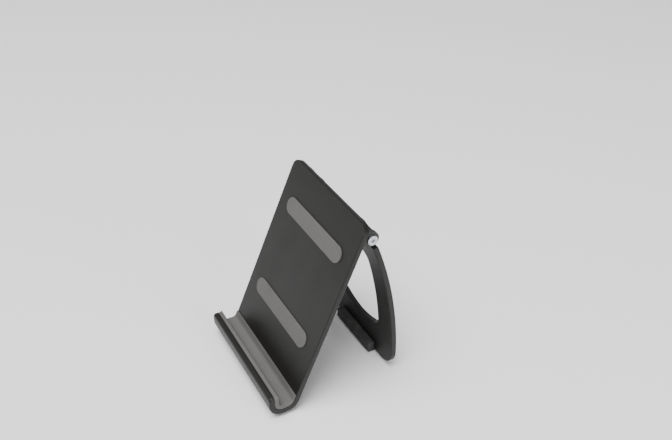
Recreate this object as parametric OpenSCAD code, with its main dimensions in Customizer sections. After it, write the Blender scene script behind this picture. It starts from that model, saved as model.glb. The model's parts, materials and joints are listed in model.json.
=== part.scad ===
// Folding tablet stand: a J-shaped cradle whose trough holds the tablet's lower edge,
// propped from behind by a bowed leg with a window, which folds flat on two friction hinges.
// X is the width, Y runs from the lip at the front to the leg at the back, and Z is up from the table.

/* [Cradle] */
// Width of the cradle and its trough
cradle_w = 100; // [86:1:140]
// Lean of the back plate, in degrees from the table
tilt = 66.6; // [60:0.2:72]
// Length of the back plate, from the axis of the rear bend to its top edge
back_l = 134; // [110:1:170]
// Thickness of the cradle's wall
wall = 3.9; // [3.4:0.1:5]
// Radius of the back plate's top corners
back_corner_r = 8; // [3:0.5:9]

/* [Trough] */
// Height of the lip above the underside of the trough
lip_h = 16.2; // [13:0.2:24]
// Outer radius of the trough's two bends
bend_r = 9; // [7.5:0.25:12]
// Flat stretch of the trough's floor between the two bends
floor_flat = 3.9; // [2:0.1:12]
// Radius of the lip's top corners, seen from the front
lip_corner_r = 2; // [1:0.5:5]
// Radius of the lip's rounded outer top edge
rim_r = 2.7; // [0.5:0.1:3]

/* [Soft pads] */
// Thickness of the soft liner on the lip and on the trough's floor
liner_t = 3.1; // [2:0.1:3.4]
// Radius of the liner's rounded top edge
liner_edge_r = 1; // [0.4:0.1:1.4]
// Radius of the hollow where the liner's floor turns up to the back plate
liner_bend_r = 3; // [2:0.25:4]
// How far the liner runs up the back plate past that hollow
liner_rise = 3; // [1:0.5:5]
// Inset of the liner from each end of the trough
liner_inset = 0.2; // [0.1:0.1:3]
// How far the back pads and the liner's rear end stand proud of the back plate
pad_t = 0.9; // [0.6:0.1:1.4]
// Inset of the back pads from each side of the back plate
pad_inset = 12; // [8:1:30]
// Width of each back pad, which has round ends
pad_w = 12; // [8:0.5:18]
// Depth of the recess that holds each pad
pad_recess = 0.6; // [0.3:0.1:1]
// Distance from the rear bend's axis up to the middle of the lower pad
pad_low = 38; // [25:1:60]
// Distance from the back plate's top edge down to the middle of the upper pad
pad_drop = 30; // [25:1:40]

/* [Leg] */
// Inset of the leg from each side of the cradle
leg_inset = 3.2; // [1:0.2:10]
// Thickness of the leg
leg_t = 3.9; // [3:0.1:4.5]
// Radius of the leg's bow, at the middle of its thickness
leg_bow_r = 282; // [220:0.2:400]
// Height at which the bowed leg stands upright
leg_bow_z = 14.3; // [5:0.1:30]
// Width of each side strip beside the window
strip_w = 18.5; // [17.5:0.1:22]
// Height of the bottom of the window at its middle
window_z = 21.8; // [15:0.1:30]
// Distance from the hinge axis down to the window's top edge
window_drop = 23.9; // [21:0.1:50]
// Radius of the bowed bottom edge of the window
window_sag_r = 70; // [50:1:200]
// Radius of the window's corners
window_corner_r = 7.5; // [3:0.5:12]
// Radius of the leg's bottom corners
leg_corner_r = 13; // [4:0.5:14]
// Gap from the leg's lower edge to the table, which the rubber foot fills
sole_t = 2; // [1:0.1:2.6]

/* [Feet] */
// Height of the front feet below the trough
foot_h = 2.6; // [1:0.1:3.4]
// Depth of the pocket that each front foot sits in
foot_pocket = 1.2; // [0.6:0.1:1.6]
// Length of each front foot
foot_l = 22; // [14:1:30]
// Width of each front foot
foot_w = 6; // [4:0.5:7]
// Inset of each front foot from the end of the trough
foot_inset = 12; // [6:0.5:20]
// Length of the leg's rubber foot
bar_l = 47; // [30:1:60]
// Depth of the leg's rubber foot in front of the leg
bar_d = 5.4; // [3:0.1:7]
// Height of the leg's rubber foot
bar_h = 8; // [7.4:0.1:10]
// Radius of the rounded front edge of its sole
bar_edge_r = 2; // [0.5:0.1:3]
// Radius of the pegs that hold the leg's rubber foot
peg_r = 1.6; // [1:0.1:2]
// Distance of each peg from the middle
peg_x = 14; // [8:0.5:14]

/* [Hinges] */
// Distance from the back plate's top edge down to the hinge axis
hinge_drop = 10.2; // [9:0.1:30]
// Distance of the hinge axis behind the back plate
hinge_off = 7; // [6.6:0.1:9]
// Distance of each knuckle's middle from the leg's side
knuckle_inset = 10.8; // [10.8:0.1:20]
// Width of the leg's knuckles
knuckle_w = 11.4; // [9:0.1:12]
// Radius of the leg's knuckles
knuckle_r = 4.8; // [4.2:0.1:5]
// Radius of the hinge pins
pin_r = 2; // [1.5:0.1:2.2]
// Wall of the bushes in the knuckles
bush_t = 0.95; // [0.7:0.05:1.1]
// Thickness of each ear of the brackets
ear_t = 3; // [2:0.1:4]
// Radius of the ears' round ends
ear_r = 5.4; // [4.8:0.1:6]
// Thickness of the brackets' base
base_t = 1.5; // [1.2:0.1:1.7]
// Height of the brackets' base along the back plate
base_h = 14; // [12:0.5:16]
// Length of the screw flange on each bracket
flange_l = 13; // [10:0.5:13]
// Thickness of the friction washers
washer_t = 0.8; // [0.4:0.1:1.2]
// Thickness of the spring washers' sheet
spring_t = 0.5; // [0.3:0.05:0.6]
// Thickness of the lock nuts
nut_t = 2.8; // [2:0.1:3.2]
// Width of the lock nuts across their flats
nut_af = 7; // [6:0.1:7.5]
// Radius of the pins' heads
pin_head_r = 3.4; // [3:0.1:4]
// Thickness of the pins' heads
pin_head_t = 1.8; // [1.4:0.1:2]

/* [Screws] */
// Radius of the bracket screws
screw_r = 1.2; // [1:0.05:1.3]
// Radius of the screw heads
screw_head_r = 2.2; // [1.9:0.1:2.4]
// Thickness of the screw heads
screw_head_t = 1.4; // [1:0.1:1.6]
// How far the screws reach into the back plate
screw_bite = 2.8; // [2:0.1:2.9]
// Half of the distance between the two screws of a bracket
screw_half_pitch = 4; // [3:0.1:4.5]

/* [Clearances] */
// Radial clearance of a pin in its bush and its ears
running_gap = 0.05; // [0.02:0.01:0.1]
// Side clearance between a knuckle and each friction washer
side_gap = 0.1; // [0.05:0.05:0.2]
// Gap between the open leg's heel and the bracket that stops it
heel_gap = 0.35; // [0.3:0.05:0.6]
// Distance below the hinge axis at which the leg's full width begins
leg_top_drop = 7.5; // [7:0.1:10]

/* [Hidden] */
$fn = 96;
LEFT = -1;
RIGHT = 1;
big = 400;
eps = 0.01;
hex_sides = 6;
arc_steps = 12;
bend_steps = 24;

plastic = "#26262a";
bracket_plastic = "#303236";
soft_grey = "#77777a";
rubber_black = "#161618";
steel = "#a9adb2";
nylon = "#d8d6cc";

// Section of the trough, measured from the lip's front face
inner_r = bend_r - wall;
front_bend_y = bend_r;
rear_bend_y = bend_r + floor_flat;
bend_z = foot_h + bend_r;
lip_top = foot_h + lip_h;

// Directions along the back plate and out of its rear face
up_y = cos(tilt);
up_z = sin(tilt);

// Sizes across the stand, and places along the back plate
leg_w = cradle_w - 2 * leg_inset;
knuckle_x = leg_w / 2 - knuckle_inset;
hinge_up = back_l - hinge_drop;
pad_l = cradle_w - 2 * pad_inset;
pad_high = back_l - pad_drop;

// Hinge axis, measured from the lip's front face, and the bow of the leg through it
axis_out = bend_r + hinge_off;
axis_y0 = rear_bend_y + hinge_up * up_y + axis_out * up_z;
axis_z = bend_z + hinge_up * up_z - axis_out * up_y;
axis_rise = axis_z - leg_bow_z;
bow_y0 = axis_y0 - sqrt(leg_bow_r * leg_bow_r - axis_rise * axis_rise);
leg_lean = asin(axis_rise / leg_bow_r);

// The stand is centred front to back on the origin
depth = bow_y0 + leg_bow_r + leg_t / 2;
front_y = -depth / 2;
c1 = [front_y + front_bend_y, bend_z];
c2 = [front_y + rear_bend_y, bend_z];
axis_at = [front_y + axis_y0, axis_z];
bow_at = [front_y + bow_y0, leg_bow_z];
foot_y = (c1[0] + c2[0]) / 2;
foot_x = cradle_w / 2 - foot_inset - foot_l / 2;

// Top of the liner's floor, and the axis of the hollow behind it
liner_floor_z = foot_h + wall + liner_t;
hollow_z = liner_floor_z + liner_bend_r;
hollow_out = inner_r - pad_t - liner_bend_r;
hollow_at = [c2[0] + (hollow_out + (hollow_z - bend_z) * up_y) / up_z, hollow_z];

// Leg's window
window_top = axis_z - window_drop;
window_half = leg_w / 2 - strip_w;
window_corner_x = window_half - window_corner_r;
sag_reach = window_sag_r - window_corner_r;
window_sag_z = window_z + window_sag_r;
window_corner_z = window_sag_z - sqrt(sag_reach * sag_reach - window_corner_x * window_corner_x);
sag_angle = asin(window_corner_x / sag_reach);

// Leg's rubber foot
peg_z = sole_t + peg_r + 1.2;
sole_inset = 0.3;

// Hinge stack along X, counted out from the middle of a knuckle
bush_r = pin_r + running_gap + bush_t;
ear_in = knuckle_w / 2 + side_gap + washer_t;
ear_out = ear_in + ear_t;
washer_r = ear_r - 0.8;
spring_h = spring_t + 0.3;
spring_r = nut_af / 2 + 0.6;
pin_end = ear_out + spring_h + nut_t + 0.8;
socket_af = 2.5;
socket_d = 1;

// Bracket screws, on the flange on the inner side of each bracket
screw_x = ear_out + flange_l - 4;
cross_w = 0.7;
cross_l = 2.6;
cross_d = 0.8;

// Turns a shape for the right side into its mirror image on the left
module on_side(side) {
    if (side == LEFT) mirror([1, 0, 0]) children();
    else children();
}

// Runs a section drawn in the Y-Z plane from x0 to x1
module along_x(x0, x1) {
    translate([x0, 0, 0]) rotate([90, 0, 90]) linear_extrude(x1 - x0) children();
}

// Runs an outline drawn in the X-Z plane through the whole depth
module along_y() {
    rotate([90, 0, 0]) linear_extrude(big, center = true) children();
}

// Puts a shape on the back plate: X across it, Y up it, and Z out of its rear face
module on_plate(x, up) {
    translate([x, c2[0], c2[1]]) rotate([tilt - 180, 0, 0]) rotate([0, 0, 180])
        mirror([1, 0, 0]) translate([0, up, bend_r]) children();
}

// Draws a section in the back plate's own frame: X out of its rear face, Y up the plate
module plate_section() {
    translate(c2) rotate(tilt - 90) children();
}

// Points along an arc about a centre
function arc(centre, r, a0, a1, steps) =
    [for (i = [0 : steps]) centre + r * [cos(a0 + (a1 - a0) * i / steps), sin(a0 + (a1 - a0) * i / steps)]];

// A flat shape with round ends, along X
module round_bar(length, width) {
    end = [(length - width) / 2, 0];
    polygon(concat(
        arc(end, width / 2, -90, 90, 2 * arc_steps),
        arc(-end, width / 2, 90, 270, 2 * arc_steps)));
}

// What is cut away to round a corner whose two sides run towards -X and -Y
module corner_waste(r) {
    polygon(concat(arc([-r, -r], r, 90, 0, arc_steps), [[1, -r], [1, 1], [-r, 1]]));
}

// J section of a sheet that runs up the lip, round the trough and up the back plate
module j_section(r_out, r_in, lip, back) {
    turn = 270 + tilt;
    run = back * [up_y, up_z];
    out = [up_z, -up_y];
    polygon(concat(
        [[c1[0] - r_in, bend_z + lip], [c1[0] - r_out, bend_z + lip]],
        arc(c1, r_out, 180, 270, bend_steps), arc(c2, r_out, 270, turn, bend_steps),
        [c2 + r_out * out + run, c2 + r_in * out + run],
        arc(c2, r_in, turn, 270, bend_steps), arc(c1, r_in, 270, 180, bend_steps)));
}

// What is cut away to round the top corner at one end of the lip
module lip_corner_cut(side) {
    on_side(side) translate([cradle_w / 2, c1[0], lip_top]) rotate([90, 0, 0]) linear_extrude(bend_r + 1)
        corner_waste(lip_corner_r);
}

module foot_pocket_cut(side) {
    translate([side * foot_x, foot_y, 0]) linear_extrude(foot_h + foot_pocket) round_bar(foot_l, foot_w);
}

module cradle() {
    color(plastic) difference() {
        along_x(-cradle_w / 2, cradle_w / 2) difference() {
            j_section(bend_r, inner_r, lip_top - bend_z, back_l);
            translate([front_y, lip_top]) rotate(90) corner_waste(rim_r);
        }
        for (side = [LEFT, RIGHT]) {
            lip_corner_cut(side);
            // Back plate's top corner
            on_side(side) on_plate(cradle_w / 2, back_l) translate([0, 0, -wall - 1])
                linear_extrude(wall + 2) corner_waste(back_corner_r);
            foot_pocket_cut(side);
            for (row = [-1, 1]) on_plate(side * (knuckle_x - screw_x), hinge_up + row * screw_half_pitch)
                translate([0, 0, -screw_bite]) cylinder(r = screw_r, h = screw_bite + 1);
        }
        for (up = [pad_low, pad_high]) on_plate(0, up) translate([0, 0, -wall - 1])
            linear_extrude(1 + pad_recess) round_bar(pad_l, pad_w);
    }
}

// Section of the liner: thick on the lip and the floor, and as thin as the back pads on the back plate
module liner_section() {
    turn = 270 + tilt;
    face_y = c1[0] - inner_r;
    edge_at = [face_y + liner_t - liner_edge_r, lip_top - liner_edge_r];
    run = liner_rise * [up_y, up_z];
    out = [up_z, -up_y];
    hollow_end = hollow_at + liner_bend_r * out + run;
    polygon(concat(
        [[face_y, lip_top]],
        arc(c1, inner_r, 180, 270, bend_steps), arc(c2, inner_r, 270, turn, bend_steps),
        [hollow_end + pad_t * out, hollow_end],
        arc(hollow_at, liner_bend_r, turn, 270, bend_steps), arc(c1, inner_r - liner_t, 270, 180, arc_steps),
        arc(edge_at, liner_edge_r, 0, 90, arc_steps)));
}

module trough_liner() {
    color(soft_grey) difference() {
        along_x(-cradle_w / 2 + liner_inset, cradle_w / 2 - liner_inset) liner_section();
        for (side = [LEFT, RIGHT]) lip_corner_cut(side);
    }
}

module back_pad(up) {
    color(soft_grey) on_plate(0, up) translate([0, 0, -wall - pad_t])
        linear_extrude(pad_t + pad_recess) round_bar(pad_l, pad_w);
}

module front_foot(side) {
    color(rubber_black) foot_pocket_cut(side);
}

// A shape on the hinge axis, where +X of the shape points away from the middle of the stand
module at_knuckle(side) {
    on_side(side) translate([knuckle_x, axis_at[0], axis_at[1]]) children();
}

// A round shape about the hinge axis, from x0 to x1
module axial(r, x0, x1) {
    translate([x0, 0, 0]) rotate([0, 90, 0]) cylinder(r = r, h = x1 - x0);
}

module hinge_bracket(side) {
    color(bracket_plastic) difference() {
        on_side(side) {
            // Base and screw flange against the back plate
            along_x(knuckle_x - ear_out - flange_l, knuckle_x + ear_out) plate_section()
                translate([bend_r, hinge_up - base_h / 2]) square([base_t, base_h]);
            // Two ears with round ends
            for (x0 = [knuckle_x - ear_out, knuckle_x + ear_in]) along_x(x0, x0 + ear_t) plate_section()
                polygon(concat([[bend_r, hinge_up + ear_r], [bend_r, hinge_up - ear_r]],
                    arc([axis_out, hinge_up], ear_r, -90, 90, bend_steps)));
        }
        at_knuckle(side) axial(pin_r + running_gap, -ear_out - 1, ear_out + 1);
        for (row = [-1, 1]) on_plate(side * (knuckle_x - screw_x), hinge_up + row * screw_half_pitch)
            translate([0, 0, -1]) cylinder(r = screw_r + 0.1, h = base_t + 2);
    }
}

module bracket_screws(side) {
    color(steel) for (row = [-1, 1]) on_plate(side * (knuckle_x - screw_x), hinge_up + row * screw_half_pitch)
        difference() {
            union() {
                translate([0, 0, -screw_bite]) cylinder(r = screw_r, h = screw_bite + base_t + eps);
                translate([0, 0, base_t]) cylinder(r = screw_head_r, h = screw_head_t);
            }
            for (turn = [0, 90]) rotate(turn)
                translate([-cross_l / 2, -cross_w / 2, base_t + screw_head_t - cross_d])
                    cube([cross_l, cross_w, 2]);
        }
}

module hinge_pin(side) {
    color(steel) at_knuckle(side) difference() {
        union() {
            axial(pin_r, -pin_end, ear_out + eps);
            axial(pin_head_r, ear_out, ear_out + pin_head_t);
        }
        translate([ear_out + pin_head_t - socket_d, 0, 0]) rotate([0, 90, 0])
            cylinder(r = socket_af / sqrt(3), h = 2, $fn = hex_sides);
    }
}

module friction_washers(side) {
    color(nylon) at_knuckle(side) for (x0 = [-ear_in, ear_in - washer_t]) difference() {
        axial(washer_r, x0, x0 + washer_t);
        axial(pin_r + running_gap, x0 - 1, x0 + washer_t + 1);
    }
}

// A dished spring washer between the inner ear and the nut
module spring_washer(side) {
    bore = pin_r + running_gap;
    rise = spring_h - spring_t;
    color(steel) at_knuckle(side) translate([-ear_out, 0, 0]) rotate([0, -90, 0]) rotate_extrude()
        polygon([[bore, rise], [spring_r, 0], [spring_r, spring_t], [bore, spring_h]]);
}

module lock_nut(side) {
    x1 = -ear_out - spring_h;
    color(steel) at_knuckle(side) difference() {
        translate([x1 - nut_t, 0, 0]) rotate([0, 90, 0])
            cylinder(r = nut_af / sqrt(3), h = nut_t, $fn = hex_sides);
        axial(pin_r, x1 - nut_t - 1, x1 + 1);
    }
}

// Section of the leg's bowed sheet
module bow_section() {
    translate(bow_at) difference() {
        circle(leg_bow_r + leg_t / 2, $fn = 360);
        circle(leg_bow_r - leg_t / 2, $fn = 360);
    }
}

// Outline of the leg's window, seen from the front: a bowed lower edge and rounded corners
module window_outline() {
    top_z = window_top - window_corner_r;
    polygon(concat(
        arc([0, window_sag_z], window_sag_r, -90 - sag_angle, -90 + sag_angle, bend_steps),
        arc([window_corner_x, window_corner_z], window_corner_r, -90 + sag_angle, 0, arc_steps),
        arc([window_corner_x, top_z], window_corner_r, 0, 90, arc_steps),
        arc([-window_corner_x, top_z], window_corner_r, 90, 180, arc_steps),
        arc([-window_corner_x, window_corner_z], window_corner_r, 180, 270 - sag_angle, arc_steps)));
}

module leg() {
    half = leg_w / 2;
    color(plastic) difference() {
        union() {
            // Bowed sheet, from the rubber foot to just below the hinges
            difference() {
                along_x(-half, half) intersection() {
                    bow_section();
                    translate([0, sole_t]) square(big);
                    translate(axis_at) rotate(leg_lean) translate([-big / 2, -big])
                        square([big, big - leg_top_drop]);
                }
                along_y() window_outline();
                for (side = [LEFT, RIGHT]) on_side(side) along_y() translate([half, sole_t]) rotate(-90)
                    corner_waste(leg_corner_r);
            }
            // Knuckles, each with a heel that meets its bracket when the leg is open
            for (side = [LEFT, RIGHT])
            along_x(side * knuckle_x - knuckle_w / 2, side * knuckle_x + knuckle_w / 2) {
                intersection() {
                    bow_section();
                    translate(axis_at) rotate(leg_lean) translate([-leg_t, -leg_top_drop - 2])
                        square([2 * leg_t, 4 * leg_top_drop]);
                    plate_section() translate([bend_r + base_t + heel_gap, 0]) square(big);
                }
                translate(axis_at) circle(knuckle_r);
            }
        }
        for (side = [LEFT, RIGHT]) {
            at_knuckle(side) axial(bush_r, -knuckle_w, knuckle_w);
            translate([side * peg_x, 0, peg_z]) rotate([90, 0, 0]) cylinder(r = peg_r, h = big, center = true);
        }
    }
}

module leg_bush(side) {
    color(nylon) at_knuckle(side) difference() {
        axial(bush_r, -knuckle_w / 2, knuckle_w / 2);
        axial(pin_r + running_gap, -knuckle_w, knuckle_w);
    }
}

// Rubber foot: a bar in front of the leg's lower edge, a sole under it, and two pegs through it
module leg_foot() {
    rear = bow_at[0] + leg_bow_r;
    front = rear - leg_t / 2 - bar_d;
    under = rear + leg_t / 2 - sole_inset;
    color(rubber_black) {
        along_x(-bar_l / 2, bar_l / 2) difference() {
            polygon(concat(arc([front + bar_edge_r, bar_edge_r], bar_edge_r, 180, 270, arc_steps),
                [[under, 0], [under, sole_t], [rear, sole_t], [rear, bar_h], [front, bar_h]]));
            intersection() {
                bow_section();
                translate([front, sole_t]) square(big);
            }
        }
        for (side = [LEFT, RIGHT]) translate([side * peg_x, rear, peg_z]) rotate([-90, 0, 0])
            translate([0, 0, -leg_t / 2 - 1]) cylinder(r = peg_r, h = leg_t + 1 - sole_inset);
    }
}

cradle();
trough_liner();
back_pad(pad_low);  // back_pad_lower
back_pad(pad_high);  // back_pad_upper
front_foot(LEFT);  // front_foot_left
front_foot(RIGHT);  // front_foot_right
hinge_bracket(LEFT);  // hinge_bracket_left
hinge_bracket(RIGHT);  // hinge_bracket_right
bracket_screws(LEFT);  // bracket_screws_left
bracket_screws(RIGHT);  // bracket_screws_right
hinge_pin(LEFT);  // hinge_pin_left
hinge_pin(RIGHT);  // hinge_pin_right
friction_washers(LEFT);  // friction_washers_left
friction_washers(RIGHT);  // friction_washers_right
spring_washer(LEFT);  // spring_washer_left
spring_washer(RIGHT);  // spring_washer_right
lock_nut(LEFT);  // lock_nut_left
lock_nut(RIGHT);  // lock_nut_right
leg();
leg_bush(LEFT);  // leg_bush_left
leg_bush(RIGHT);  // leg_bush_right
leg_foot();
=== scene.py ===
"""Folding tablet stand: the visible pieces, finishes, table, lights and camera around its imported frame."""
import json
import math

import bmesh
import bpy
from bpy.props import FloatProperty, FloatVectorProperty, IntProperty, PointerProperty
from mathutils import Matrix, Vector


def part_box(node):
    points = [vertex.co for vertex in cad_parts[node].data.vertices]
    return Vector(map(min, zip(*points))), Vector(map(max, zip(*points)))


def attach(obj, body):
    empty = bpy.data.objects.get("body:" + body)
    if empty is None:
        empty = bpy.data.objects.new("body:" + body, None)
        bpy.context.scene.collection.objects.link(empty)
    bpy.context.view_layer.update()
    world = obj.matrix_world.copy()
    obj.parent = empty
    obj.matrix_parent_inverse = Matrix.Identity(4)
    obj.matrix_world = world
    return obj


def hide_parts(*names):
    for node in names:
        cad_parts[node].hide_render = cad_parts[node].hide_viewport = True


bl_info = {
    "name": "Folding Tablet Stand",
    "version": (1, 0, 0),
    "blender": (4, 5, 0),
    "location": "View3D > Sidebar > Tablet Stand",
    "description": "Builds the visible pieces and finishes of a folding tablet stand around its frame",
    "category": "Add Mesh",
}

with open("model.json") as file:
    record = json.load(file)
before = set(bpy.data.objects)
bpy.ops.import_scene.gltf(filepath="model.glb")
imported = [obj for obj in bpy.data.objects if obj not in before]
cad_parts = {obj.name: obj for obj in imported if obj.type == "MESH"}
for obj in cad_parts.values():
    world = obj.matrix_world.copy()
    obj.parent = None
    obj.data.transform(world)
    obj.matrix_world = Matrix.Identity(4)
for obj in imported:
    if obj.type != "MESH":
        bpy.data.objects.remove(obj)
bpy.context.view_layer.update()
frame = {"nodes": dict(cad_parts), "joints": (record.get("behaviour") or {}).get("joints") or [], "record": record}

MM = 0.001
SIDES = ("left", "right")
X_AXIS, Y_AXIS, Z_AXIS = Vector((1, 0, 0)), Vector((0, 1, 0)), Vector((0, 0, 1))
# Angles past which an edge is rounded, and past which its shading is split
SHARP, SHADING_SHARP = math.radians(40), math.radians(35)
# Points closer than this are one point
MERGE = 0.001 * MM
# Share of a slab's half width that its corners are rounded by, so that two of them don't quite meet
NEARLY_ALL = 0.999
# Gaps round the pads and the feet in their recesses, and how far the liner's ends are set in
PAD_GAP, FOOT_GAP, LINER_INSET = 0.25 * MM, 0.15 * MM, 0.2 * MM
# Radii of the soft pieces' edges
LINER_SOFT, PAD_SOFT, FOOT_SOFT = 0.4 * MM, 0.35 * MM, 0.6 * MM
FOOT_NOSE, FOOT_EDGE = 2.0 * MM, 0.8 * MM
# Edge radius of a knuckle, how far its neck lies under the leg's faces, and how far it runs into the leg
KNUCKLE_SOFT, NECK_SUNK, NECK_OVERLAP = 0.4 * MM, 0.15 * MM, 2 * MM
KEY_PLACE, KEY_SIZE = Vector((0.35, -0.75, 2.6)), 2.2
SIDE_PLACE, SIDE_SIZE = Vector((1.6, 0.35, 0.55)), 1.0


# ---------------------------------------------------------------- sizes

class CradleSizes(bpy.types.PropertyGroup):
    """The J-shaped cradle and what lies in it."""
    lean: FloatProperty(name="Lean", description="Lean of the back plate from the table",
                        default=math.radians(66.6), subtype="ANGLE")
    wall: FloatProperty(name="Wall", description="Thickness of the moulding",
                        default=3.9 * MM, unit="LENGTH")
    bend: FloatProperty(name="Bend", description="Outer radius of the trough's two bends",
                        default=9 * MM, unit="LENGTH")
    floor: FloatProperty(name="Floor", description="Flat stretch of the trough between its bends",
                         default=3.9 * MM, unit="LENGTH")
    lip: FloatProperty(name="Lip", description="Height of the lip above the underside of the trough",
                       default=16.2 * MM, unit="LENGTH")
    lip_corner: FloatProperty(name="Lip corner", description="Radius of the lip's top corners",
                              default=2 * MM, unit="LENGTH")
    back_corner: FloatProperty(name="Back corner", description="Radius of the back plate's top corners",
                               default=8 * MM, unit="LENGTH")
    rim: FloatProperty(name="Rim", description="Radius of the lip's rounded outer top edge",
                       default=2.7 * MM, unit="LENGTH")
    edge: FloatProperty(name="Edge", description="Radius of the moulding's other edges",
                        default=0.7 * MM, unit="LENGTH")
    liner: FloatProperty(name="Liner", description="Thickness of the liner on the lip and the floor",
                         default=3.1 * MM, unit="LENGTH")
    liner_edge: FloatProperty(name="Liner edge", description="Radius of the liner's top edge",
                              default=1 * MM, unit="LENGTH")
    hollow: FloatProperty(name="Hollow", description="Radius where the liner turns up to the back plate",
                          default=3 * MM, unit="LENGTH")
    rise: FloatProperty(name="Liner rise", description="How far the liner runs up the back plate",
                        default=3 * MM, unit="LENGTH")
    pad: FloatProperty(name="Pads", description="How far the pads and the liner's rear end stand proud",
                       default=0.9 * MM, unit="LENGTH")
    recess: FloatProperty(name="Recess", description="Depth of the recesses that hold the pads",
                          default=0.6 * MM, unit="LENGTH")


class LegSizes(bpy.types.PropertyGroup):
    """The bowed leg with its window."""
    bow: FloatProperty(name="Bow", description="Radius of the leg's bow, at the middle of its thickness",
                       default=282 * MM, unit="LENGTH")
    sheet: FloatProperty(name="Sheet", description="Thickness of the leg",
                         default=3.9 * MM, unit="LENGTH")
    strip: FloatProperty(name="Side strip", description="Width of each strip beside the window",
                         default=18.5 * MM, unit="LENGTH")
    corner: FloatProperty(name="Corner", description="Radius of the leg's lower corners",
                          default=13 * MM, unit="LENGTH")
    window_low: FloatProperty(name="Window bottom", description="Height of the window's bottom at its middle",
                              default=21.8 * MM, unit="LENGTH")
    window_high: FloatProperty(name="Window top", description="Height of the window's top edge",
                               default=95 * MM, unit="LENGTH")
    window_corner: FloatProperty(name="Window corner", description="Radius of the window's corners",
                                 default=7.5 * MM, unit="LENGTH")
    window_sag: FloatProperty(name="Window sag", description="Radius of the window's bowed lower edge",
                              default=70 * MM, unit="LENGTH")
    edge: FloatProperty(name="Edge", description="Radius of the leg's edges",
                        default=0.7 * MM, unit="LENGTH")
    shoulder: FloatProperty(name="Shoulder", description="Distance of the leg's top edge below the hinge axis",
                            default=7.5 * MM, unit="LENGTH")
    knuckle: FloatProperty(name="Knuckle", description="Radius of the knuckles",
                           default=4.8 * MM, unit="LENGTH")
    slices: IntProperty(name="Slices", description="Flat facets along the leg's bow", default=40)


class FinishColours(bpy.types.PropertyGroup):
    """Colours of the finishes."""
    plastic: FloatVectorProperty(name="Plastic", description="Black moulded plastic",
                                 default=(0.0105, 0.0101, 0.0094), subtype="COLOR")
    soft: FloatVectorProperty(name="Soft grey", description="Liner and back pads",
                              default=(0.104, 0.1005, 0.0965), subtype="COLOR")
    rubber: FloatVectorProperty(name="Rubber", description="Feet",
                                default=(0.044, 0.0432, 0.042), subtype="COLOR")
    bracket: FloatVectorProperty(name="Bracket", description="Hinge brackets",
                                 default=(0.014, 0.0138, 0.0134), subtype="COLOR")
    steel: FloatVectorProperty(name="Steel", description="Plated pins, screws, nuts and spring washers",
                               default=(0.56, 0.57, 0.59), subtype="COLOR")
    nylon: FloatVectorProperty(name="Nylon", description="Bushes and friction washers",
                               default=(0.70, 0.68, 0.61), subtype="COLOR")
    table: FloatVectorProperty(name="Table", description="Table top",
                               default=(0.92, 0.92, 0.922), subtype="COLOR")


class StageSettings(bpy.types.PropertyGroup):
    """Camera and lights."""
    camera_at: FloatVectorProperty(name="Camera place", description="Where the camera stands",
                                   default=(0.4155, -0.1962, 0.4235), subtype="TRANSLATION", unit="LENGTH")
    camera_turn: FloatProperty(name="Camera turn", description="Turn of the camera about the vertical",
                               default=math.radians(61.8), subtype="ANGLE")
    camera_pitch: FloatProperty(name="Camera pitch", description="Tilt of the camera up from straight down",
                                default=math.radians(56.1), subtype="ANGLE")
    lens: FloatProperty(name="Lens", description="Focal length for a 36 mm wide sensor, in millimetres",
                        default=45.375)
    key: FloatProperty(name="Key light", description="Power of the large soft light overhead, in watts",
                       default=130)
    side: FloatProperty(name="Side light", description="Power of the soft light on the right, in watts",
                        default=16)
    sky: FloatProperty(name="Surroundings", description="Strength of the even light from all round",
                       default=0.33)


SETTINGS = {"stand_cradle": CradleSizes, "stand_leg": LegSizes, "stand_colours": FinishColours,
            "stand_stage": StageSettings}


# ---------------------------------------------------------------- shader maths

class Value:
    """A socket of a material, on which Python's arithmetic adds Math nodes."""

    def __init__(self, finish, socket):
        self.finish = finish
        self.socket = socket

    def _maths(self, operation, a, b):
        return self.finish.node("ShaderNodeMath", {"operation": operation}, {0: a, 1: b})

    def __add__(self, other):
        return self._maths("ADD", self, other)

    __radd__ = __add__

    def __sub__(self, other):
        return self._maths("SUBTRACT", self, other)

    def __rsub__(self, other):
        return self._maths("SUBTRACT", other, self)

    def __mul__(self, other):
        return self._maths("MULTIPLY", self, other)

    __rmul__ = __mul__

    def step(self, low, high):
        """0 below low and 1 above high, smooth between them."""
        return self.finish.node("ShaderNodeMapRange", {"interpolation_type": "SMOOTHSTEP"},
                                {"Value": self, "From Min": low, "From Max": high})


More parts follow.
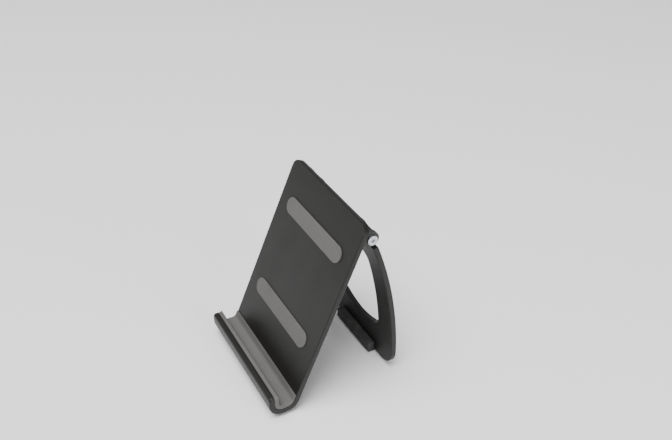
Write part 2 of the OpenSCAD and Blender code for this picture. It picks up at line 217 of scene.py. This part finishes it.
class Finish:
    """A procedural material on one Principled shader."""

    def __init__(self, name):
        self.material = bpy.data.materials.new(name)
        self.material.use_nodes = True
        self.tree = self.material.node_tree
        self.shader = self.tree.nodes["Principled BSDF"]
        self.place = self.node("ShaderNodeTexCoord", {}, {}, "Object")

    def node(self, kind, settings, sockets, output=0):
        """Adds a node: its settings first, then values or links for its sockets. Returns an output."""
        made = self.tree.nodes.new(kind)
        for key, value in settings.items():
            setattr(made, key, value)
        for key, value in sockets.items():
            self._feed(made.inputs[key], value)
        return Value(self, made.outputs[output])

    def _feed(self, socket, value):
        if isinstance(value, Value):
            self.tree.links.new(value.socket, socket)
        else:
            socket.default_value = value

    def noise(self, scale, detail=2.0, roughness=0.5, vector=None):
        return self.node("ShaderNodeTexNoise", {},
                         {"Vector": vector or self.place, "Scale": scale, "Detail": detail,
                          "Roughness": roughness})

    def cells(self, scale):
        return self.node("ShaderNodeTexVoronoi", {"feature": "F1"}, {"Vector": self.place, "Scale": scale})

    def stretched(self, factors):
        return self.node("ShaderNodeMapping", {"vector_type": "POINT"},
                         {"Vector": self.place, "Scale": factors})

    def mix(self, factor, a, b):
        """Colour mix by a mask. A Mix node's colours are its inputs 6 and 7 and its output 2."""
        return self.node("ShaderNodeMix", {"data_type": "RGBA"}, {0: factor, 6: a, 7: b}, 2)

    def bump(self, height, distance, strength):
        self.set(Normal=self.node("ShaderNodeBump", {},
                                  {"Height": height, "Distance": distance, "Strength": strength}))

    def set(self, **sockets):
        for key, value in sockets.items():
            self._feed(self.shader.inputs[key.replace("_", " ")], value)


def shade(colour, factor):
    """A colour made lighter or darker, with full alpha."""
    return (*(min(1.0, c * factor) for c in colour), 1.0)


# ---------------------------------------------------------------- finishes

def satin_plastic(colours):
    """Black moulded plastic with a fine spark-eroded grain and faint handling marks."""
    f = Finish("satin_black_plastic")
    grain = f.noise(5200, 3, 0.6)
    coarse = f.noise(1500, 2)
    smudge = f.noise(26, 4, 0.55).step(0.46, 0.74)
    scratches = f.noise(900, 1, 0.4, f.stretched((0.06, 1.0, 1.0))).step(0.68, 0.78)
    f.set(Base_Color=f.mix(coarse, shade(colours.plastic, 0.85), shade(colours.plastic, 1.2)),
          Roughness=0.40 + 0.07 * grain + 0.07 * smudge - 0.05 * scratches,
          Specular_IOR_Level=0.27, IOR=1.5)
    f.bump(grain + 0.35 * coarse - 0.3 * scratches, 0.00003, 0.75)
    return f.material


def bracket_plastic(colours):
    """Matt black glass-filled nylon, with the short fibres just showing."""
    f = Finish("matt_black_nylon")
    fibres = f.noise(2600, 2, 0.7, f.stretched((0.25, 1.0, 1.0)))
    cloud = f.noise(120, 3)
    shown = fibres.step(0.45, 0.75)
    f.set(Base_Color=f.mix(shown, shade(colours.bracket, 0.85), shade(colours.bracket, 1.7)),
          Roughness=0.5 + 0.12 * cloud + 0.06 * fibres, IOR=1.53)
    f.bump(fibres, 0.00004, 0.6)
    return f.material


def soft_pad(colours):
    """Grey soft rubber with a closed pebbled skin."""
    f = Finish("soft_grey_rubber")
    pebbles = f.cells(1900)
    dust = f.noise(300, 4, 0.65)
    worn = f.noise(38, 3).step(0.45, 0.75)
    skin = f.mix(dust, shade(colours.soft, 0.86), shade(colours.soft, 1.13))
    f.set(Base_Color=f.mix(worn * 0.35, skin, shade(colours.soft, 0.72)),
          Roughness=0.80 - 0.1 * worn + 0.1 * dust, Specular_IOR_Level=0.35)
    f.bump(pebbles + 0.3 * dust, 0.00007, 0.8)
    return f.material


def foot_rubber(colours):
    """Black rubber with a matt bloom."""
    f = Finish("black_foot_rubber")
    bloom = f.noise(210, 4, 0.6)
    grain = f.noise(3400, 2, 0.6)
    f.set(Base_Color=f.mix(bloom.step(0.4, 0.75), shade(colours.rubber, 0.9), shade(colours.rubber, 1.6)),
          Roughness=0.66 + 0.16 * bloom, Specular_IOR_Level=0.4)
    f.bump(grain + 0.4 * bloom, 0.00004, 0.8)
    return f.material


def plated_steel(colours):
    """Zinc-plated steel with fine turning lines and small dull patches."""
    f = Finish("zinc_plated_steel")
    turned = f.noise(2400, 2, 0.5, f.stretched((3.0, 0.5, 0.5)))
    patches = f.noise(700, 3).step(0.42, 0.7)
    f.set(Base_Color=f.mix(patches, shade(colours.steel, 1.0), shade(colours.steel, 0.72)),
          Metallic=1.0, Roughness=0.24 + 0.14 * turned + 0.1 * patches)
    f.bump(turned, 0.00002, 0.5)
    return f.material


def natural_nylon(colours):
    """Off-white unfilled nylon, slightly cloudy."""
    f = Finish("natural_nylon")
    cloud = f.noise(420, 3)
    f.set(Base_Color=f.mix(cloud, shade(colours.nylon, 0.86), shade(colours.nylon, 1.08)),
          Roughness=0.42 + 0.12 * cloud, Subsurface_Weight=0.08, Subsurface_Radius=(0.001, 0.0009, 0.0007))
    f.bump(cloud, 0.00003, 0.4)
    return f.material


def table_top(colours):
    """Plain pale table top."""
    f = Finish("pale_table")
    cloud = f.noise(6, 2)
    f.set(Base_Color=f.mix(cloud, shade(colours.table, 0.995), shade(colours.table, 1.005)), Roughness=0.55)
    return f.material


FINISHES = {"black_plastic": satin_plastic, "bracket_plastic": bracket_plastic, "soft_grey": soft_pad,
            "black_rubber": foot_rubber, "steel": plated_steel, "nylon": natural_nylon}
SLOT_OF = {row["node"]: row["material_slot"] for row in frame["record"]["subparts"]}
BODY_OF = {node: body for body, nodes in frame["record"]["behaviour"]["bodies"].items() for node in nodes}


def finish_for(slot):
    """The material of a slot, made when it is first asked for."""
    maker = FINISHES[slot]
    name = f"slot_{slot}"
    if name not in bpy.data.materials:
        maker(bpy.context.scene.stand_colours).name = name
    return bpy.data.materials[name]


# ---------------------------------------------------------------- mesh work

def new_piece(bm, name, stands_for, edge_width=0.0, segments=3):
    """Closes a bmesh into an object that stands for a CAD node, with its finish, body and rounded edges."""
    bmesh.ops.recalc_face_normals(bm, faces=bm.faces)
    mesh = bpy.data.meshes.new(name)
    bm.to_mesh(mesh)
    bm.free()
    piece = bpy.data.objects.new(name, mesh)
    bpy.context.scene.collection.objects.link(piece)
    mesh.materials.append(finish_for(SLOT_OF[stands_for]))
    if edge_width:
        bevel = piece.modifiers.new("rounded_edges", "BEVEL")
        bevel.width = edge_width
        bevel.segments = segments
        bevel.limit_method = "WEIGHT"
        bevel.use_clamp_overlap = False
        piece.modifiers.new("merged_points", "WELD").merge_threshold = MERGE
    mesh.shade_smooth()
    mesh.set_sharp_from_angle(angle=SHADING_SHARP)
    piece.modifiers.new("even_shading", "WEIGHTED_NORMAL").keep_sharp = True
    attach(piece, BODY_OF[stands_for])
    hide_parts(stands_for)
    return piece


def run(bm, edge, step):
    """Extrudes an edge by a vector and returns the new edge."""
    made = bmesh.ops.extrude_edge_only(bm, edges=[edge])["geom"]
    verts = [g for g in made if isinstance(g, bmesh.types.BMVert)]
    bmesh.ops.translate(bm, verts=verts, vec=step)
    return next(e for v in verts for e in v.link_edges if e.other_vert(v) in verts)


def turn(bm, edge, centre, angle, steps):
    """Spins an edge about an X-wise axis through a centre and returns the last edge."""
    made = bmesh.ops.spin(bm, geom=[edge, *edge.verts], cent=centre, axis=X_AXIS, angle=angle, steps=steps,
                          use_merge=False)["geom_last"]
    return next(g for g in made if isinstance(g, bmesh.types.BMEdge))


def widen(bm, x0, x1):
    """Runs every face, drawn at X = 0, from x0 to x1 as one closed solid."""
    faces = list(bm.faces)
    bmesh.ops.translate(bm, verts=bm.verts, vec=(x0, 0, 0))
    made = bmesh.ops.extrude_face_region(bm, geom=faces)["geom"]
    verts = [g for g in made if isinstance(g, bmesh.types.BMVert)]
    bmesh.ops.translate(bm, verts=verts, vec=(x1 - x0, 0, 0))


def round_off(bm, geom, radius, segments=10, affect="EDGES"):
    """Rounds edges, or the corners of a flat outline."""
    bmesh.ops.bevel(bm, geom=geom, offset=radius, offset_type="OFFSET", segments=segments, profile=0.5,
                    affect=affect, material=-1, clamp_overlap=False)


def soften(bm, radius, segments=3, limit=SHARP):
    """Rounds every sharp outward edge."""
    bmesh.ops.recalc_face_normals(bm, faces=bm.faces)
    round_off(bm, [e for e in bm.edges if e.is_convex and e.calc_face_angle(0) > limit], radius, segments)


def weigh(bm, choose, limit=SHARP):
    """Gives each sharp edge a bevel weight from a function of the edge."""
    layer = bm.edges.layers.float.get("bevel_weight_edge") or bm.edges.layers.float.new("bevel_weight_edge")
    for edge in bm.edges:
        sharp = len(edge.link_faces) == 2 and edge.calc_face_angle(0) > limit
        edge[layer] = choose(edge) if sharp else 0.0


def middle(edge):
    return (edge.verts[0].co + edge.verts[1].co) / 2


def near(a, b, gap=0.05 * MM):
    return abs(a - b) < gap


class Pen:
    """Draws the outline of a section at X = 0, by extruding and spinning its last point."""

    def __init__(self, y, z):
        self.bm = bmesh.new()
        self.first = self.last = self.bm.verts.new((0, y, z))

    def line(self, y=0.0, z=0.0):
        self.last = bmesh.ops.extrude_vert_indiv(self.bm, verts=[self.last])["verts"][0]
        bmesh.ops.translate(self.bm, verts=[self.last], vec=(0, y, z))
        return self

    def line_to(self, point):
        step = point - self.last.co
        return self.line(step.y, step.z)

    def arc(self, centre, degrees, steps):
        made = bmesh.ops.spin(self.bm, geom=[self.last], cent=centre, axis=X_AXIS,
                              angle=math.radians(degrees), steps=steps, use_merge=False)["geom_last"]
        self.last = next(g for g in made if isinstance(g, bmesh.types.BMVert))
        return self

    def close(self):
        self.line_to(self.first.co)
        bmesh.ops.remove_doubles(self.bm, verts=self.bm.verts, dist=MERGE)
        bmesh.ops.contextual_create(self.bm, geom=self.bm.edges[:])
        return self.bm


def slab(length, width, low, high, corner, edge=0.0, edge_segments=3):
    """A slab with rounded corners, centred on X and Y, from low to high, with its upper edge rounded."""
    bm = bmesh.new()
    bmesh.ops.create_grid(bm, x_segments=1, y_segments=1, size=0.5)
    bmesh.ops.scale(bm, verts=bm.verts, vec=(length, width, 1))
    round_off(bm, bm.verts[:], corner * NEARLY_ALL, 12, "VERTICES")
    bmesh.ops.translate(bm, verts=bm.verts, vec=(0, 0, low))
    made = bmesh.ops.extrude_face_region(bm, geom=bm.faces[:])["geom"]
    top = [g for g in made if isinstance(g, bmesh.types.BMVert)]
    bmesh.ops.translate(bm, verts=top, vec=(0, 0, high - low))
    if edge:
        rim = [e for e in bm.edges if all(near(v.co.z, high) for v in e.verts)]
        round_off(bm, rim, edge, edge_segments)
    return bm


def cut(piece_bm, cutters, operation="DIFFERENCE"):
    """Cuts closed bmeshes out of one, or joins them to it, and returns the result as a bmesh."""
    scene = bpy.context.scene
    holders = []
    for bm in (piece_bm, *cutters):
        bmesh.ops.recalc_face_normals(bm, faces=bm.faces)
        mesh = bpy.data.meshes.new("cutting")
        bm.to_mesh(mesh)
        bm.free()
        holder = bpy.data.objects.new("cutting", mesh)
        scene.collection.objects.link(holder)
        holders.append(holder)
    body = holders[0]
    for cutter in holders[1:]:
        knife = body.modifiers.new("cut", "BOOLEAN")
        knife.operation = operation
        knife.solver = "EXACT"
        knife.object = cutter
    evaluated = body.evaluated_get(bpy.context.evaluated_depsgraph_get())
    result = bmesh.new()
    result.from_mesh(evaluated.to_mesh())
    evaluated.to_mesh_clear()
    for holder in holders:
        mesh = holder.data
        bpy.data.objects.remove(holder)
        bpy.data.meshes.remove(mesh)
    return result


# ---------------------------------------------------------------- where things are

class Layout:
    """Places worked out from the frame's boxes and the sizes in the sidebar."""

    def __init__(self, scene):
        c = scene.stand_cradle
        low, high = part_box("cradle")
        self.half = high.x
        self.under = low.z
        self.front = low.y
        self.bend_z = low.z + c.bend
        self.c1 = Vector((0, low.y + c.bend, self.bend_z))
        self.c2 = self.c1 + Vector((0, c.floor, 0))
        self.inner = c.bend - c.wall
        self.up = Vector((0, math.cos(c.lean), math.sin(c.lean)))
        self.out = Vector((0, math.sin(c.lean), -math.cos(c.lean)))
        self.back = (high.z - self.bend_z + self.inner * self.up.y) / self.up.z
        self.lip_top = low.z + c.lip
        self.axis = Vector(frame["joints"][0]["pos_m"])

    def on_plate(self, across, up, out=0.0):
        """A point by its place across and up the back plate, and out of its rear face."""
        rear = bpy.context.scene.stand_cradle.bend
        return self.c2 + Vector((across, 0, 0)) + self.up * up + self.out * (rear + out)

    def plate_turn(self):
        """Turns X, Y and Z to across the plate, up the plate and out of its front face."""
        return Matrix((X_AXIS, self.up, -self.out)).transposed().to_4x4()


def j_section(bm, place, r_out, r_in, lip, back, steps=14):
    """Section of a sheet that runs down the lip, round the trough and up the back plate, at X = 0."""
    c = bpy.context.scene.stand_cradle
    top = place.c1.z + lip
    ends = [bm.verts.new((0, place.c1.y - r, top)) for r in (r_out, r_in)]
    edge = run(bm, bm.edges.new(ends), Vector((0, 0, -lip)))
    edge = turn(bm, edge, place.c1, math.radians(90), steps)
    edge = run(bm, edge, Vector((0, c.floor, 0)))
    edge = turn(bm, edge, place.c2, c.lean, steps)
    run(bm, edge, place.up * back)
    bmesh.ops.remove_doubles(bm, verts=bm.verts, dist=MERGE)


# ---------------------------------------------------------------- pieces

class STAND_OT_cradle(bpy.types.Operator):
    """Black J-shaped moulding: lip, trough and back plate"""
    bl_idname = "stand.cradle"
    bl_label = "Cradle"

    def execute(self, context):
        c = context.scene.stand_cradle
        place = Layout(context.scene)
        bm = bmesh.new()
        j_section(bm, place, c.bend, place.inner, place.lip_top - place.bend_z, place.back)
        widen(bm, -place.half, place.half)

        def crosses_wall(edge):
            return near(edge.calc_length(), c.wall, 0.1 * MM) and near(abs(middle(edge).x), place.half)

        lip_ends = [e for e in bm.edges if crosses_wall(e) and near(middle(e).z, place.lip_top)]
        round_off(bm, lip_ends, c.lip_corner)
        top = place.on_plate(0, place.back, -c.wall / 2)
        back_ends = [e for e in bm.edges if crosses_wall(e) and near((middle(e) - top).dot(place.up), 0)]
        round_off(bm, back_ends, c.back_corner)
        bm = cut(bm, [*self.pad_recesses(c, place), *self.foot_pockets(c, place)])
        bmesh.ops.dissolve_degenerate(bm, dist=0.01 * MM, edges=bm.edges)
        weigh(bm, lambda edge: self.rounding(edge, c, place))
        new_piece(bm, "cradle_moulding", "cradle", c.rim, 5)
        return {"FINISHED"}

    @staticmethod
    def rounding(edge, c, place):
        """Share of the rim's radius: all of it along the lip's outer top edge, fading round the corners."""
        at = middle(edge)
        inside = abs(at.x) < place.half - 0.6 * MM
        below_end = (at - place.on_plate(0, place.back)).dot(place.up) < -0.3 * MM
        at_recess = inside and below_end and at.z > place.bend_z and at.y > place.c1.y
        at_foot_pocket = inside and at.z < place.bend_z
        if at_recess or at_foot_pocket:
            return 0.0
        if near(at.y, place.front) and at.z > place.lip_top - c.lip_corner:
            rise = (at.z - place.lip_top + c.lip_corner) / c.lip_corner
            return (c.edge + (c.rim - c.edge) * rise) / c.rim
        return c.edge / c.rim

    @staticmethod
    def pad_recesses(c, place):
        for name in ("back_pad_lower", "back_pad_upper"):
            length, width = pad_outline(name, place, PAD_GAP)
            bm = slab(length, width, -c.recess, c.wall, width / 2)
            settle_on_plate(bm, name, place, c)
            yield bm

    @staticmethod
    def foot_pockets(c, place):
        for side in SIDES:
            low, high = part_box(f"front_foot_{side}")
            length, width = high.x - low.x + 2 * FOOT_GAP, high.y - low.y + 2 * FOOT_GAP
            bm = slab(length, width, low.z, high.z, width / 2)
            bmesh.ops.translate(bm, verts=bm.verts, vec=((low.x + high.x) / 2, (low.y + high.y) / 2, 0))
            yield bm


def pad_outline(name, place, gap=0.0):
    """Length and width of a back pad, from its box."""
    low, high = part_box(name)
    c = bpy.context.scene.stand_cradle
    thick = c.pad + c.recess
    width = (high.z - low.z - thick * place.up.y) / place.up.z
    return high.x - low.x + 2 * gap, width + 2 * gap


def settle_on_plate(bm, name, place, c):
    """Moves a flat shape, drawn about the plate's front face, to a back pad's place."""
    low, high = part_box(name)
    centre = (low + high) / 2
    up = (centre - place.c2).dot(place.up)
    at = place.on_plate(centre.x, up, -c.wall)
    bmesh.ops.transform(bm, matrix=Matrix.Translation(at) @ place.plate_turn(), verts=bm.verts)


class STAND_OT_liner(bpy.types.Operator):
    """Soft grey liner that lies in the trough"""
    bl_idname = "stand.liner"
    bl_label = "Trough liner"

    def execute(self, context):
        c = context.scene.stand_cradle
        place = Layout(context.scene)
        low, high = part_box("trough_liner")
        lean = math.degrees(c.lean)
        hollow_z = place.under + c.wall + c.liner + c.hollow
        hollow_out = place.inner - c.pad - c.hollow
        hollow_y = place.c2.y + (hollow_out + (hollow_z - place.bend_z) * place.up.y) / place.up.z
        hollow = Vector((0, hollow_y, hollow_z))
        tip = hollow + place.out * (c.hollow + c.pad) + place.up * c.rise
        edge = Vector((0, low.y + c.liner - c.liner_edge, high.z - c.liner_edge))
        pen = Pen(low.y, high.z).line(z=place.bend_z - high.z).arc(place.c1, 90, 16).line(y=c.floor)
        pen.arc(place.c2, lean, 16).line_to(tip).line_to(tip - place.out * c.pad)
        pen.line_to(hollow + place.out * c.hollow).arc(hollow, -lean, 14)
        pen.line_to(place.c1 - Z_AXIS * (place.inner - c.liner)).arc(place.c1, -90, 12)
        pen.line_to(edge + Y_AXIS * c.liner_edge).arc(edge, 90, 6)
        bm = pen.close()
        widen(bm, low.x, high.x)
        top_ends = [e for e in bm.edges if all(near(v.co.z, high.z) for v in e.verts)
                    and near(abs(middle(e).x), high.x)]
        round_off(bm, top_ends, c.lip_corner - LINER_INSET, 6)
        weigh(bm, lambda edge: 1.0 if near(abs(middle(edge).x), high.x, c.lip_corner) else 0.0)
        new_piece(bm, "trough_liner_strip", "trough_liner", LINER_SOFT, 3)
        return {"FINISHED"}


class STAND_OT_back_pads(bpy.types.Operator):
    """Two soft grey pads on the back plate"""
    bl_idname = "stand.back_pads"
    bl_label = "Back pads"

    def execute(self, context):
        c = context.scene.stand_cradle
        place = Layout(context.scene)
        for name in ("back_pad_lower", "back_pad_upper"):
            length, width = pad_outline(name, place)
            bm = slab(length, width, -c.recess, c.pad, width / 2, PAD_SOFT, 4)
            settle_on_plate(bm, name, place, c)
            new_piece(bm, f"{name}_strip", name)
        return {"FINISHED"}


class STAND_OT_feet(bpy.types.Operator):
    """Two rubber feet under the trough, and the rubber foot along the leg's lower edge"""
    bl_idname = "stand.feet"
    bl_label = "Rubber feet"

    def execute(self, context):
        for side in SIDES:
            self.front_foot(f"front_foot_{side}")
        self.leg_foot(context.scene)
        return {"FINISHED"}

    @staticmethod
    def front_foot(name):
        low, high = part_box(name)
        width = high.y - low.y
        bm = slab(high.x - low.x, width, -high.z, -low.z, width / 2, FOOT_SOFT, 4)
        bmesh.ops.rotate(bm, verts=bm.verts, matrix=Matrix.Rotation(math.pi, 3, "X"))
        bmesh.ops.translate(bm, verts=bm.verts, vec=((low.x + high.x) / 2, (low.y + high.y) / 2, 0))
        new_piece(bm, f"{name}_pad", name)

    @staticmethod
    def leg_foot(scene):
        low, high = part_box("leg_foot")
        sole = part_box("leg")[0].z
        leg = LegShape(scene)
        bm = bmesh.new()
        front = leg.face_y(high.z, -1)
        section = [(low.y, 0), (high.y, 0), (high.y, sole), (front, sole), (front, high.z), (low.y, high.z)]
        bm.faces.new([bm.verts.new((0, y, z)) for y, z in section])
        widen(bm, low.x, high.x)

        def share(edge):
            at = middle(edge)
            nose = near(at.y, low.y) and near(at.z, 0)
            hidden = near(at.y, front) or (near(at.z, sole) and at.y > front)
            return 0.0 if hidden else (FOOT_NOSE if nose else FOOT_EDGE) / FOOT_NOSE

        weigh(bm, share)
        new_piece(bm, "leg_foot_bar", "leg_foot", FOOT_NOSE, 5)


class LegShape:
    """The bowed faces and outline of the leg, from its box, the hinge axis and its sizes."""

    def __init__(self, scene):
        self.sizes = scene.stand_leg
        self.low, self.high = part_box("leg")
        axis = Layout(scene).axis
        s = self.sizes
        self.bow_y = self.high.y - s.bow - s.sheet / 2
        across = axis.y - self.bow_y
        self.bow_z = axis.z - math.sqrt(s.bow ** 2 - across ** 2)
        self.axis = axis
        self.lean = math.asin((axis.z - self.bow_z) / s.bow)
        self.window_half = self.high.x - s.strip

    def face_y(self, z, side):
        """Depth at a height: of the front face at -1, the middle at 0 and the rear face at +1."""
        radius = self.sizes.bow + side * self.sizes.sheet / 2
        return self.bow_y + math.sqrt(radius ** 2 - (z - self.bow_z) ** 2)


class STAND_OT_leg(bpy.types.Operator):
    """Bowed black leg with its window and two knuckles"""
    bl_idname = "stand.leg"
    bl_label = "Leg"

    def execute(self, context):
        shape = LegShape(context.scene)
        s = shape.sizes
        bm = bmesh.new()
        self.half_outline(bm, shape)
        bmesh.ops.mirror(bm, geom=bm.verts[:] + bm.edges[:] + bm.faces[:], merge_dist=0.01 * MM, axis="X")
        bmesh.ops.remove_doubles(bm, verts=bm.verts, dist=0.01 * MM)
        self.thicken(bm, s.sheet)
        soften(bm, s.edge)
        self.bow(bm, shape)
        for side in SIDES:
            low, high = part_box(f"leg_bush_{side}")
            knuckle = self.knuckle(shape, low.x, high.x)
            soften(knuckle, KNUCKLE_SOFT)
            bore = Pen(shape.axis.y, shape.axis.z + (high.z - low.z) / 2).arc(shape.axis, 360, 32).close()
            widen(bore, low.x - 1 * MM, high.x + 1 * MM)
            bm = cut(bm, [cut(knuckle, [bore])], "UNION")
        new_piece(bm, "leg_sheet", "leg")
        return {"FINISHED"}

    @staticmethod
    def thicken(bm, thickness):
        """Turns the flat front view into a flat sheet, centred on Y = 0."""
        bmesh.ops.translate(bm, verts=bm.verts, vec=(0, -thickness / 2, 0))
        made = bmesh.ops.extrude_face_region(bm, geom=bm.faces[:])["geom"]
        rear = [g for g in made if isinstance(g, bmesh.types.BMVert)]
        bmesh.ops.translate(bm, verts=rear, vec=(0, thickness, 0))

    @staticmethod
    def bow(bm, shape):
        """Bends the flat sheet to its bow, in level slices."""
        s = shape.sizes
        low, high = shape.low.z, STAND_OT_leg.top(shape)
        for i in range(1, s.slices):
            cut_z = low + (high - low) * i / s.slices
            bmesh.ops.bisect_plane(bm, geom=bm.verts[:] + bm.edges[:] + bm.faces[:], dist=MERGE,
                                   plane_co=(0, 0, cut_z), plane_no=Z_AXIS)
        for vert in bm.verts:
            vert.co.y = shape.face_y(vert.co.z, 2 * vert.co.y / s.sheet)

    @staticmethod
    def top(shape):
        return shape.axis.z - shape.sizes.shoulder * math.cos(shape.lean)

    def knuckle(self, shape, x0, x1):
        """A round knuckle on the hinge axis, with the neck that joins it to the leg's top edge."""
        s = shape.sizes
        reach, neck = s.knuckle, s.sheet / 2 - NECK_SUNK
        low = self.top(shape) - NECK_OVERLAP
        along = math.sqrt(reach ** 2 - neck ** 2)
        swing = Matrix.Rotation(-shape.lean, 3, "X")
        start = shape.axis + swing @ Vector((0, -neck, -along))
        half_gap = math.degrees(math.asin(neck / reach))
        pen = Pen(start.y, start.z).arc(shape.axis, -(360 - 2 * half_gap), 40)
        pen.line_to(Vector((0, shape.face_y(low, 1) - NECK_SUNK, low)))
        pen.line_to(Vector((0, shape.face_y(low, -1) + NECK_SUNK, low)))
        bm = pen.close()
        widen(bm, x0, x1)
        return bm

    def half_outline(self, bm, shape):
        """Right half of the leg's front view, as one face round the window."""
        s = shape.sizes
        half, window = shape.high.x, shape.window_half
        low, high = shape.low.z, self.top(shape)
        sag_z = s.window_low + s.window_sag
        window_side = sag_z - math.sqrt(s.window_sag ** 2 - window ** 2)
        points = [(0, low), (half, low), (half, high), (0, high), (0, s.window_high),
                  (window, s.window_high), (window, window_side), (0, s.window_low)]
        verts = [bm.verts.new((x, 0, z)) for x, z in points]
        bm.faces.new(verts)
        for corner, radius in ((1, s.corner), (5, s.window_corner), (6, s.window_corner)):
            round_off(bm, [verts[corner]], radius, affect="VERTICES")
        inside = [e for e in bm.edges if middle(e).z > s.window_low - 1 * MM
                  and all(v.co.z < window_side and abs(v.co.x) < window for v in e.verts)]
        sill = max(inside, key=lambda e: e.calc_length())
        ends = [v.co.copy() for v in sill.verts]
        made = bmesh.ops.subdivide_edges(bm, edges=[sill], cuts=10)["geom_inner"]
        for vert in (g for g in made if isinstance(g, bmesh.types.BMVert)):
            along = (vert.co - ends[0]).length / (ends[1] - ends[0]).length
            chord = (ends[1] - ends[0]).length
            vert.co.z -= chord ** 2 / (2 * s.window_sag) * along * (1 - along)


class STAND_OT_hardware(bpy.types.Operator):
    """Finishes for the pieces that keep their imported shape"""
    bl_idname = "stand.hardware"
    bl_label = "Hinge hardware"

    def execute(self, context):
        for name, piece in frame["nodes"].items():
            piece.data.materials.clear()
            piece.data.materials.append(finish_for(SLOT_OF[name]))
        return {"FINISHED"}


class STAND_OT_stage(bpy.types.Operator):
    """Pale table top, soft studio lights and the camera"""
    bl_idname = "stand.stage"
    bl_label = "Stage"

    def execute(self, context):
        scene = context.scene
        settings = scene.stand_stage
        self.table(scene)
        self.camera(scene, settings)
        world = bpy.data.worlds.new("studio")
        world.use_nodes = True
        background = world.node_tree.nodes["Background"]
        background.inputs["Color"].default_value = (1, 1, 1, 1)
        background.inputs["Strength"].default_value = settings.sky
        scene.world = world
        self.soft_light("key_light", settings.key, KEY_SIZE, KEY_PLACE)
        self.soft_light("side_light", settings.side, SIDE_SIZE, SIDE_PLACE)
        return {"FINISHED"}

    @staticmethod
    def table(scene):
        bm = bmesh.new()
        bmesh.ops.create_grid(bm, x_segments=1, y_segments=1, size=6)
        mesh = bpy.data.meshes.new("table")
        bm.to_mesh(mesh)
        bm.free()
        mesh.materials.append(table_top(scene.stand_colours))
        table = bpy.data.objects.new("table", mesh)
        scene.collection.objects.link(table)

    @staticmethod
    def camera(scene, settings):
        data = bpy.data.cameras.new("camera")
        data.sensor_width = 36
        data.lens = settings.lens
        data.clip_start = 0.01
        camera = bpy.data.objects.new("camera", data)
        camera.location = settings.camera_at
        camera.rotation_euler = (settings.camera_pitch, 0, settings.camera_turn)
        scene.collection.objects.link(camera)
        scene.camera = camera

    @staticmethod
    def soft_light(name, power, size, place):
        data = bpy.data.lights.new(name, "AREA")
        data.shape = "DISK"
        data.size = size
        data.energy = power
        light = bpy.data.objects.new(name, data)
        light.location = place
        light.rotation_euler = (-place).to_track_quat("-Z", "Y").to_euler()
        bpy.context.scene.collection.objects.link(light)


class STAND_PT_panel(bpy.types.Panel):
    """Sizes, colours and buttons of the stand"""
    bl_idname = "STAND_PT_panel"
    bl_label = "Tablet Stand"
    bl_space_type = "VIEW_3D"
    bl_region_type = "UI"
    bl_category = "Tablet Stand"

    def draw(self, context):
        layout = self.layout
        for name, group in SETTINGS.items():
            box = layout.box()
            for key in group.__annotations__:
                box.prop(getattr(context.scene, name), key)
        for operator in OPERATORS:
            layout.operator(operator.bl_idname)


OPERATORS = (STAND_OT_stage, STAND_OT_hardware, STAND_OT_cradle, STAND_OT_liner, STAND_OT_back_pads,
             STAND_OT_feet, STAND_OT_leg)
CLASSES = (*SETTINGS.values(), *OPERATORS, STAND_PT_panel)


def register():
    for cls in CLASSES:
        bpy.utils.register_class(cls)
    for name, group in SETTINGS.items():
        setattr(bpy.types.Scene, name, PointerProperty(type=group))


def unregister():
    for name in SETTINGS:
        delattr(bpy.types.Scene, name)
    for cls in reversed(CLASSES):
        bpy.utils.unregister_class(cls)


def main():
    register()
    for operator in OPERATORS:
        group, name = operator.bl_idname.split(".")
        getattr(getattr(bpy.ops, group), name)()


if __name__ == "__main__":
    main()
